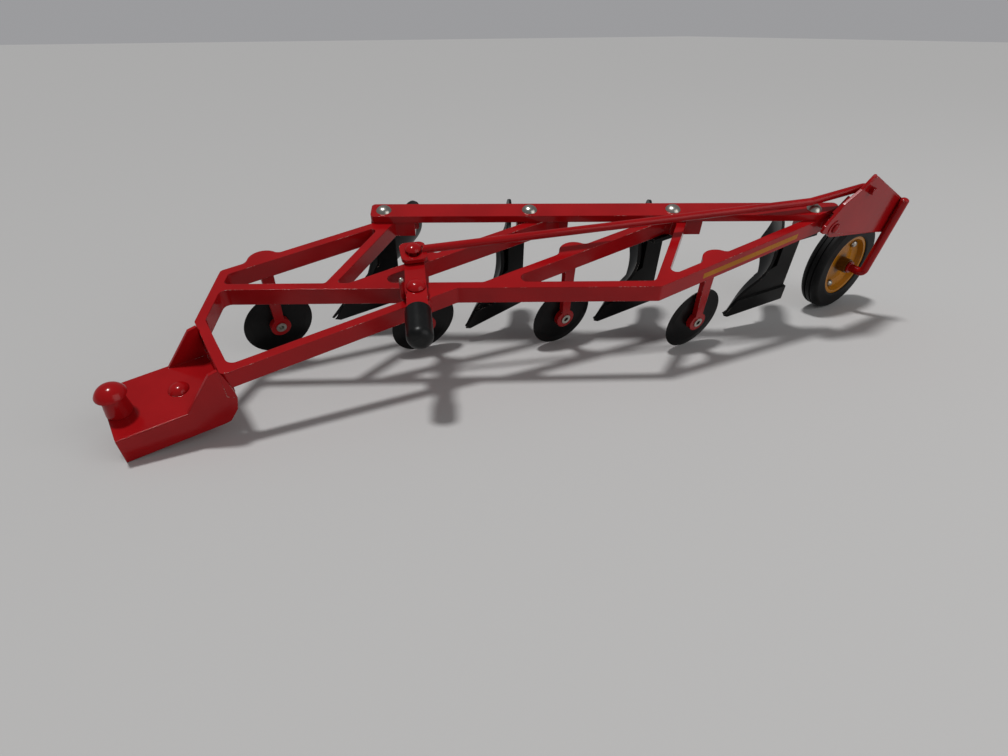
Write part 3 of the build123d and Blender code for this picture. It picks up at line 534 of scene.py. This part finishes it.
def dome(radius: float, height: float, step: float) -> list[Pair]:
    """Half the outline of a dome.

    Args:
        radius: of its rim.
        height: of its top over its rim.
        step: radians from point to point; the last one, at the rim, takes what is left over.

    Returns:
        (radius, height) of its points, from the top down.
    """
    turns = [step * i for i in range(round(math.pi / 2 / step))] + [math.pi / 2]
    return [(radius * math.sin(turn), height * math.cos(turn)) for turn in turns]


# ================================================================ the toy's small parts, in millimetres
@dataclass
class Drawbar:
    """The folded channel's rear end, behind its ears.

    Attributes:
        cheek: (back, up) of what fills its sides behind the ears.
        inner: how far from the middle a cheek's inner face is.
        thick: a cheek's thickness.
    """

    cheek: tuple[Pair, ...] = (
        (31.6, 13.0), (31.6, 1.0), (34.6, -1.0), (34.45, 1.4), (33.7, 5.2), (32.7, 9.4),
    )
    inner: float = 12.45
    thick: float = 0.45

    def dress(self, materials: Materials) -> None:
        """Adds a cheek on either side.

        Args:
            materials: the finishes by name.
        """
        for side, name in ((1, "left_cheek"), (-1, "right_cheek")):
            cheek = Piece(name, "frame", Slot.RED_ENAMEL)
            outline = [spot(side * self.inner, back, up) for back, up in self.cheek]
            cheek.prism(outline, LEFT * side * self.thick * MM)
            cheek.make(materials)


@dataclass
class Lattice:
    """Small forms of the lattice casting.

    Attributes:
        beams: each beam's middle, to the left.
        pads: how far back each beam's coulter pad is.
        pad_radius: of the pads.
        pad_lap: how far a run-out reaches under its pad.
        beam_lap: how far it reaches into its beam.
        half_beam: half a beam's width.
        fillet: radius where a pad runs into its beam.
        fillet_steps: lengths in that rounding.
        top: the casting's top face.
        bottom: its underside.
        inset: how far a run-out keeps inside those faces.
        stop: place of the stop post's top.
        tip: (radius, height) of the post's bright tip.
        tip_sides: lengths round it.
        stripe_side: the left beam's outer face.
        stripe_run: (from, to) of the stripe, going back.
        stripe_rise: (from, to) of the stripe, going up.
        stripe_thick: the stripe's thickness.
    """

    beams: tuple[float, ...] = (-40.3, -9.0, 16.0, 48.8)
    pads: tuple[float, ...] = (64.0, 116.5, 170.5, 216.0)
    pad_radius: float = 6.3
    pad_lap: float = 1.5
    beam_lap: float = 0.3
    half_beam: float = 1.75
    fillet: float = 3.4
    fillet_steps: int = 8
    top: float = 10.5
    bottom: float = 3.5
    inset: float = 0.04
    stop: Triple = (7.72, 99.62, 18.5)
    tip: tuple[Pair, ...] = (
        (0.0, 1.4), (0.484, 1.302), (0.792, 0.98), (0.8976, 0.56), (0.8976, -0.8), (0.0, -0.8),
    )
    tip_sides: int = 24
    stripe_side: float = 50.55
    stripe_run: Pair = (207.5, 260.5)
    stripe_rise: Pair = (5.3, 7.8)
    stripe_thick: float = 0.02

    def flare(self, piece: Piece, beam: float, pad: float, side: int) -> None:
        """Adds the hollow run-out of a coulter pad on one side.

        Args:
            piece: the piece to add it to.
            beam: the beam's middle.
            pad: how far back the pad is.
            side: 1 behind the pad, -1 before it.
        """
        off = self.half_beam + self.fillet
        reach = math.sqrt((self.pad_radius + self.fillet) ** 2 - off**2)
        turn = math.atan2(-reach, off)
        in_beam = beam - self.half_beam + self.beam_lap
        outline = [(in_beam, pad + side * reach)]
        for i in range(self.fillet_steps + 1):
            a = turn * i / self.fillet_steps
            left = beam - off + self.fillet * math.cos(a)
            outline.append((left, pad + side * (reach + self.fillet * math.sin(a))))
        outline.append((in_beam, pad + side * (self.pad_radius - self.pad_lap)))
        low, high = self.bottom + self.inset, self.top - self.inset
        piece.prism([spot(left, back, low) for left, back in outline], UP * (high - low) * MM)

    def dress(self, materials: Materials) -> None:
        """Adds the pads' run-outs, the stop post's tip and the stripe.

        Args:
            materials: the finishes by name.
        """
        flares = Piece("pad_flares", "frame", Slot.RED_ENAMEL)
        for beam, pad in zip(self.beams, self.pads):
            self.flare(flares, beam, pad, 1)
            self.flare(flares, beam, pad, -1)
        flares.make(materials)
        tip = Piece("stop_tip", "frame", Slot.NICKEL)
        tip.turned(spot(*self.stop), UP, self.tip, self.tip_sides)
        tip.make(materials, smooth=True)
        stripe = Piece("beam_stripe", "frame", Slot.GOLD_ENAMEL)
        (start, stop), (low, high) = self.stripe_run, self.stripe_rise
        corners = [(start, low), (stop, low), (stop, high), (start, high)]
        outline = [spot(self.stripe_side, back, up) for back, up in corners]
        stripe.prism(outline, LEFT * self.stripe_thick * MM)
        stripe.make(materials, finish="stripe_gold")


@dataclass(frozen=True)
class Wing:
    """How one plough bottom stands, and where its moldboard's rounded end is.

    Attributes:
        turn: degrees that the bottom is turned on its rivet.
        set_back: how far it is set back from the rivet.
        swing: degrees that its moldboard is bent back.
        lobe: (along, up) of the end's middle.
    """

    turn: float
    set_back: float
    swing: float
    lobe: Pair


@dataclass
class Wings:
    """The rounded ends of the first three moldboards, which follow their bowed sheets.

    Attributes:
        wings: the three ends, from the front.
        first_rivet: (left, back) of the first bottom's rivet.
        pitch: between the rivets.
        slant: degrees of their line from straight back.
        radius: of the rounded ends.
        blunt: how far short of a full circle an end starts and stops.
        sweep: degrees of the sheets from straight back.
        reach: length of the sheets.
        bow: of the sheets.
        bow_more: how far the bow's arc runs on past each end.
        edge: how far left of the rivets their front edges are.
        shin: (up, back) of the front edge, from below.
        top: height of the frame's top face.
        depths: how deep the ends' two faces lie in the sheet.
        strips: lengths in an end, along the sheet.
        across: lengths in an end, up the sheet.
    """

    wings: tuple[Wing, ...] = (
        Wing(3.0, 3.4, 19.0, (26.0, -14.5)),
        Wing(-6.0, -1.8, 0.0, (28.0, -16.0)),
        Wing(3.0, -1.9, 0.0, (29.0, -17.5)),
    )
    first_rivet: Pair = (-43.9, 116.6)
    pitch: float = 60.0
    slant: float = 30.0
    radius: float = 9.5
    blunt: Pair = (0.1, 0.01)
    sweep: float = 48.5
    reach: float = 36.0
    bow: float = 2.6
    bow_more: float = 3.0
    edge: float = -1.6
    shin: tuple[Pair, ...] = ((-31.0, -19.0), (-26.5, -14.2), (-21.0, -12.3), (-7.5, -12.0), (0.0, -12.0))
    top: float = 10.5
    depths: Pair = (0.06, 1.14)
    strips: int = 28
    across: int = 8

    def place(self, i: int, along: float, up: float, depth: float) -> Vector:
        """A place in a moldboard's sheet.

        Args:
            i: which bottom.
            along: from its front edge.
            up: from the frame's top.
            depth: behind its working face.

        Returns:
            The place, in metres.
        """
        wing = self.wings[i]
        half = self.reach / 2 + self.bow_more
        bow_radius = (half**2 + self.bow**2) / (2 * self.bow)
        off = self.bow - bow_radius + math.sqrt(bow_radius**2 - (along - self.reach / 2) ** 2) + depth
        a = math.radians(self.sweep - wing.swing)
        left = self.edge - math.sin(a) * along + math.cos(a) * off
        back = math.cos(a) * along + math.sin(a) * off
        for (low, back_low), (high, back_high) in zip(self.shin, self.shin[1:]):
            if low <= up <= high:
                back += back_low + (back_high - back_low) * (up - low) / (high - low)
        c, s = math.cos(math.radians(wing.turn)), math.sin(math.radians(wing.turn))
        slant, (rivet_left, rivet_back) = math.radians(self.slant), self.first_rivet
        rivet_left += i * self.pitch * math.sin(slant)
        rivet_back += i * self.pitch * math.cos(slant)
        left, back = c * left + s * back, wing.set_back - s * left + c * back
        return spot(rivet_left + left, rivet_back + back, self.top + up)

    def end(self, piece: Piece, i: int) -> None:
        """Adds one moldboard's rounded end.

        Args:
            piece: the piece to add it to.
            i: which bottom.
        """
        middle, level = self.wings[i].lobe
        start = middle - self.radius + self.blunt[0]
        stop = middle + self.radius - self.blunt[1]
        rows = []
        for k in range(self.strips + 1):
            along = start + (stop - start) * math.sin(math.pi / 2 * k / self.strips)
            half = math.sqrt(self.radius**2 - (along - middle) ** 2)
            heights = [level + half * (2 * j / self.across - 1) for j in range(self.across + 1)]
            faces = [[self.place(i, along, up, depth) for up in heights] for depth in self.depths]
            rows.append([[piece.mesh.verts.new(point) for point in face] for face in faces])
        for a, b in zip(rows, rows[1:]):
            for face in (0, 1):
                for j in range(self.across):
                    piece.mesh.faces.new((a[face][j], b[face][j], b[face][j + 1], a[face][j + 1]))
            for j in (0, self.across):
                piece.mesh.faces.new((a[0][j], b[0][j], b[1][j], a[1][j]))
        for row in (rows[0], rows[-1]):
            for j in range(self.across):
                piece.mesh.faces.new((row[0][j], row[0][j + 1], row[1][j + 1], row[1][j]))

    def dress(self, materials: Materials) -> None:
        """Adds the rounded ends.

        Args:
            materials: the finishes by name.
        """
        for i in range(len(self.wings)):
            piece = Piece(f"wing_end_{i + 1}", "frame", Slot.BLACK_ENAMEL)
            self.end(piece, i)
            piece.make(materials)


@dataclass
class Bracket:
    """What the rear wheel's folded bracket has beyond its plain plate.

    Attributes:
        pivot: (back, up) of its pin.
        inner: how far left its plate's inner face is.
        outer: how far left its outer face is.
        corners: (back, up, radius) of its outline.
        ridge_radius: of the pressed ridge beside the pin.
        ridge_turn: (from, to) of the ridge, in degrees from straight back, up and over.
        ridge_half: half the ridge's width, at its ends and what its middle has more.
        ridge_high: how far it stands out.
        ridge_steps: lengths in the ridge.
        roll: the two ends of the rolled edge at the top corner.
        roll_radius: of that edge.
        roll_step: radians from point to point of its round ends.
        roll_sides: lengths round it.
        wire_top: the wire axle's upper end.
        wire_turn: (back, up) of the wire's direction there.
        wire_radius: of the wire.
        wire_dome: height of its rounded end.
        wire_lap: how far the rounded end reaches down into the wire.
        wire_step: radians from point to point of its rounded end.
        wire_sides: lengths round it.
    """

    pivot: Pair = (277.5, 7.5)
    inner: float = 54.37
    outer: float = 55.64
    corners: tuple[Triple, ...] = (
        (267.2, 6.4, 2.6), (267.6, 12.2, 3.0), (279.0, 16.2, 4.0),
        (293.4, 28.6, 2.0), (320.6, 7.9, 1.0), (318.0, -8.2, 1.0),
    )
    ridge_radius: float = 4.0
    ridge_turn: Pair = (95.0, 235.0)
    ridge_half: Pair = (0.04, 0.5)
    ridge_high: float = 0.3
    ridge_steps: int = 24
    roll: tuple[Triple, Triple] = ((54.95, 286.6, 22.9), (54.95, 292.0, 27.4))
    roll_radius: float = 0.85
    roll_step: float = 0.4
    roll_sides: int = 24
    wire_top: Triple = (57.5, 320.4, 8.5)
    wire_turn: Pair = (0.17534, 0.98451)
    wire_radius: float = 1.9
    wire_dome: float = 1.14
    wire_lap: float = 0.3
    wire_step: float = 0.3
    wire_sides: int = 32

    def face(self, materials: Materials) -> None:
        """Adds the plate's full outline.

        Args:
            materials: the finishes by name.
        """
        face = Piece("bracket_face", "bracket", Slot.RED_ENAMEL)
        outline = [spot(self.inner, back, up) for back, up in rounded(self.corners)]
        face.prism(outline, LEFT * (self.outer - self.inner) * MM)
        face.make(materials)

    def ridge(self, materials: Materials) -> None:
        """Adds the pressed ridge, a crescent round the pin.

        Args:
            materials: the finishes by name.
        """
        ridge = Piece("bracket_ridge", "bracket", Slot.RED_ENAMEL)
        (start, stop), (tip, more) = self.ridge_turn, self.ridge_half
        inside: list[Vector] = []
        outside: list[Vector] = []
        for i in range(self.ridge_steps + 1):
            share = i / self.ridge_steps
            a = math.radians(start + (stop - start) * share)
            half = tip + more * math.sin(math.pi * share)
            for row, radius in ((inside, self.ridge_radius - half), (outside, self.ridge_radius + half)):
                back, up = self.pivot[0] + radius * math.cos(a), self.pivot[1] + radius * math.sin(a)
                row.append(spot(self.outer, back, up))
        ridge.prism(inside + outside[::-1], LEFT * self.ridge_high * MM)
        ridge.make(materials)

    def rolled_edge(self, materials: Materials) -> None:
        """Adds the rolled edge, a bead with round ends.

        Args:
            materials: the finishes by name.
        """
        roll = Piece("bracket_roll", "bracket", Slot.RED_ENAMEL)
        start, stop = spot(*self.roll[0]), spot(*self.roll[1])
        length = (stop - start).length / MM
        end = dome(self.roll_radius, self.roll_radius, self.roll_step)
        profile = [(radius, length + high) for radius, high in end]
        profile += [(radius, -high) for radius, high in reversed(end)]
        roll.turned(start, stop - start, profile, self.roll_sides)
        roll.make(materials, smooth=True)

    def wire_end(self, materials: Materials) -> None:
        """Adds the wire axle's rounded upper end.

        Args:
            materials: the finishes by name.
        """
        end = Piece("wire_end", "bracket", Slot.RED_ENAMEL)
        back, up = self.wire_turn
        profile = dome(self.wire_radius, self.wire_dome, self.wire_step)
        profile += [(self.wire_radius, -self.wire_lap), (0.0, -self.wire_lap)]
        end.turned(spot(*self.wire_top), BACK * back + UP * up, profile, self.wire_sides)
        end.make(materials, smooth=True)

    def dress(self, materials: Materials) -> None:
        """Adds the plate's outline, its ridge and rolled edge, and the wire's rounded end.

        Args:
            materials: the finishes by name.
        """
        self.face(materials)
        self.ridge(materials)
        self.rolled_edge(materials)
        self.wire_end(materials)


@dataclass
class RearWheel:
    """The rear wheel's hub rivets, and the painted shade round its axle.

    Attributes:
        lean: degrees that the axle rises to the left.
        toe: degrees that it points back.
        angles: degrees of the rivets round the hub, from the top towards the rear.
        radius: of their circle.
        out: how far they stand left of the wheel's middle.
        rivet: (radius, height) of a rivet's head.
        rivet_sides: lengths round it.
        shade_out: how far left of the wheel's middle the ring of painted shade is.
        shade_radius: of the ring.
        shade_tone: its colour.
    """

    lean: float = 6.0
    toe: float = 4.0
    angles: Pair = (45.0, 204.0)
    radius: float = 10.9
    out: float = 0.9
    rivet: tuple[Pair, ...] = ((0.0, 1.3), (1.0, 1.1), (1.6, 0.6), (1.9, 0.0), (1.9, -0.6), (0.0, -0.6))
    rivet_sides: int = 28
    # painted shade: a dark ring standing in for the shade deep in the dished hub round the axle
    shade_out: float = 3.0
    shade_radius: float = 5.0
    shade_tone: Colour = (0.05, 0.014, 0.001)

    def axle(self) -> Vector:
        """The axle's direction."""
        lean, toe = math.radians(self.lean), math.radians(self.toe)
        return (LEFT * math.cos(toe) + BACK * math.sin(toe)) * math.cos(lean) + UP * math.sin(lean)

    def on_axle(self, out: float) -> Vector:
        """A place on the wheel's axis, by its millimetres to the left of the tyre's middle."""
        low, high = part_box("wheel_tyre")
        return (low + high) / 2 + self.axle() * out * MM

    def painted_shade(self) -> tuple[Vector, float, Colour]:
        """The ring of painted shade in the dished hub round the axle: its place, radius and colour."""
        return self.on_axle(self.shade_out), self.shade_radius * MM, self.shade_tone

    def dress(self, materials: Materials) -> None:
        """Adds the two rivets that hold the hub's halves.

        Args:
            materials: the finishes by name.
        """
        axle = self.axle()
        up = axle.cross(BACK).normalized()
        back = up.cross(axle)
        rivets = Piece("hub_rivets", "wheel", Slot.NICKEL)
        for angle in self.angles:
            a = math.radians(angle)
            ray = (up * math.cos(a) + back * math.sin(a)) * self.radius * MM
            rivets.turned(self.on_axle(self.out) + ray, axle, self.rivet, self.rivet_sides)
        rivets.make(materials, smooth=True)


# ================================================================ studio
@dataclass
class Studio:
    """The floor, the lights and the camera, in metres.

    Attributes:
        ceiling_from: direction towards the high lamp.
        ceiling_power: its strength.
        ceiling_spread: its size, as an angle in radians.
        window_from: from the object to the soft window.
        window_power: its strength.
        window_size: its width.
        room: colour of the light from all round.
        wall: colour seen behind the floor.
        floor: the floor's colour.
        floor_under: how far the floor lies under the object.
        floor_rough: its roughness.
        floor_shine: its specular level.
        reach: how far it runs.
        camera_place: where the camera is.
        camera_right: its direction to the right.
        camera_up: its direction up.
        camera_lens: its focal length, in millimetres.
        camera_near: the nearest that it sees.
    """

    ceiling_from: Triple = (-0.08, -0.19, 0.98)
    ceiling_power: float = 2.0
    ceiling_spread: float = 0.14
    window_from: Triple = (0.9, 0.35, 0.45)
    window_power: float = 3.0
    window_size: float = 0.8
    room: Colour = (0.20, 0.203, 0.208)
    wall: Colour = (0.33, 0.33, 0.34)
    floor: Colour = (0.50, 0.494, 0.488)
    floor_under: float = 0.0001
    floor_rough: float = 0.9
    floor_shine: float = 0.1
    reach: float = 6.0
    camera_place: Triple = (0.23656, 0.00528, 0.11385)
    camera_right: Triple = (0.511104, 0.859519, -0.000945)
    camera_up: Triple = (-0.386185, 0.230623, 0.893126)
    camera_lens: float = 25.157
    camera_near: float = 0.005

    def make_floor(self, low: Vector) -> None:
        """Adds the plain pale floor.

        Args:
            low: the object's lowest corner.
        """
        material = bpy.data.materials.new("floor")
        material.use_nodes = True
        shader = principled(material)
        shader.inputs["Base Color"].default_value = (*self.floor, 1)
        shader.inputs["Roughness"].default_value = self.floor_rough
        shader.inputs["Specular IOR Level"].default_value = self.floor_shine
        r, level = self.reach, low.z - self.floor_under
        data = bpy.data.meshes.new("floor")
        data.from_pydata([(-r, -r, level), (r, -r, level), (r, r, level), (-r, r, level)], [], [(0, 1, 2, 3)])
        data.materials.append(material)
        floor = bpy.data.objects.new("floor", data)
        bpy.context.scene.collection.objects.link(floor)
        floor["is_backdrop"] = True

    @staticmethod
    def hang(lamp: bpy.types.Light, place: Vector, towards: Triple) -> None:
        """Hangs a lamp that shines back from where it is.

        Args:
            lamp: the lamp.
            place: where it hangs.
            towards: direction from the object to it.
        """
        hung = bpy.data.objects.new(lamp.name, lamp)
        hung.location = place
        hung.rotation_euler = Vector(towards).to_track_quat("Z", "Y").to_euler()
        bpy.context.scene.collection.objects.link(hung)

    def make_lights(self, centre: Vector) -> None:
        """Adds the high lamp, the soft window and the light from all round.

        Args:
            centre: the object's middle.
        """
        ceiling = bpy.data.lights.new("ceiling", "SUN")
        ceiling.energy = self.ceiling_power
        ceiling.angle = self.ceiling_spread
        self.hang(ceiling, Vector(), self.ceiling_from)
        window = bpy.data.lights.new("window", "AREA")
        window.energy = self.window_power
        window.size = self.window_size
        self.hang(window, centre + Vector(self.window_from), self.window_from)
        world = bpy.data.worlds.new("world")
        world.use_nodes = True
        graph = Graph(world.node_tree)
        seen = graph.node("ShaderNodeLightPath", "Is Camera Ray")
        graph.feed(world.node_tree.nodes["Background"].inputs["Color"], seen.blend(self.room, self.wall))
        bpy.context.scene.world = world

    def make_camera(self) -> None:
        """Adds the camera."""
        lens = bpy.data.cameras.new("camera")
        lens.lens = self.camera_lens
        lens.clip_start = self.camera_near
        camera = bpy.data.objects.new("camera", lens)
        right, up = Vector(self.camera_right).normalized(), Vector(self.camera_up).normalized()
        turn = Matrix((right, up, right.cross(up))).transposed().to_4x4()
        camera.matrix_world = Matrix.Translation(Vector(self.camera_place)) @ turn
        bpy.context.scene.collection.objects.link(camera)
        bpy.context.scene.camera = camera
        bpy.context.scene.view_settings.view_transform = "Standard"


def main() -> None:
    """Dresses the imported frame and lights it."""
    logging.basicConfig(level=logging.INFO, format="%(name)s: %(message)s")
    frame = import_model()
    rest_low, rest_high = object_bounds()
    wheel = RearWheel()
    gold = Slot.GOLD_ENAMEL.value
    finishes = {slot.label: slot.value for slot in Slot}
    finishes["stripe_gold"] = replace(gold, base=(0.44, 0.155, 0.008), shine=0.1, wear=0.0, round=0.0001)
    # the hub's gold enamel carries a ring of painted shade round its axle
    finishes["hub_gold_and_painted_shade"] = replace(gold, painted_shade=wheel.painted_shade())
    materials = {name: Surface(name, finish, Weather()).make() for name, finish in finishes.items()}
    slots = {entry["node"]: entry["material_slot"] for entry in frame["record"]["subparts"]}
    for name, node in frame["nodes"].items():
        finish = "hub_gold_and_painted_shade" if name == "wheel_hub" else slots[name]
        node.data.materials.clear()
        node.data.materials.append(materials[finish])
        LOG.info("%s: %s", name, finish)
    for part in (Drawbar(), Lattice(), Wings(), Bracket(), wheel):
        part.dress(materials)
        LOG.info("%s dressed", type(part).__name__)
    studio = Studio()
    studio.make_floor(rest_low)
    studio.make_lights((rest_low + rest_high) / 2)
    studio.make_camera()


if __name__ == "__main__":
    main()
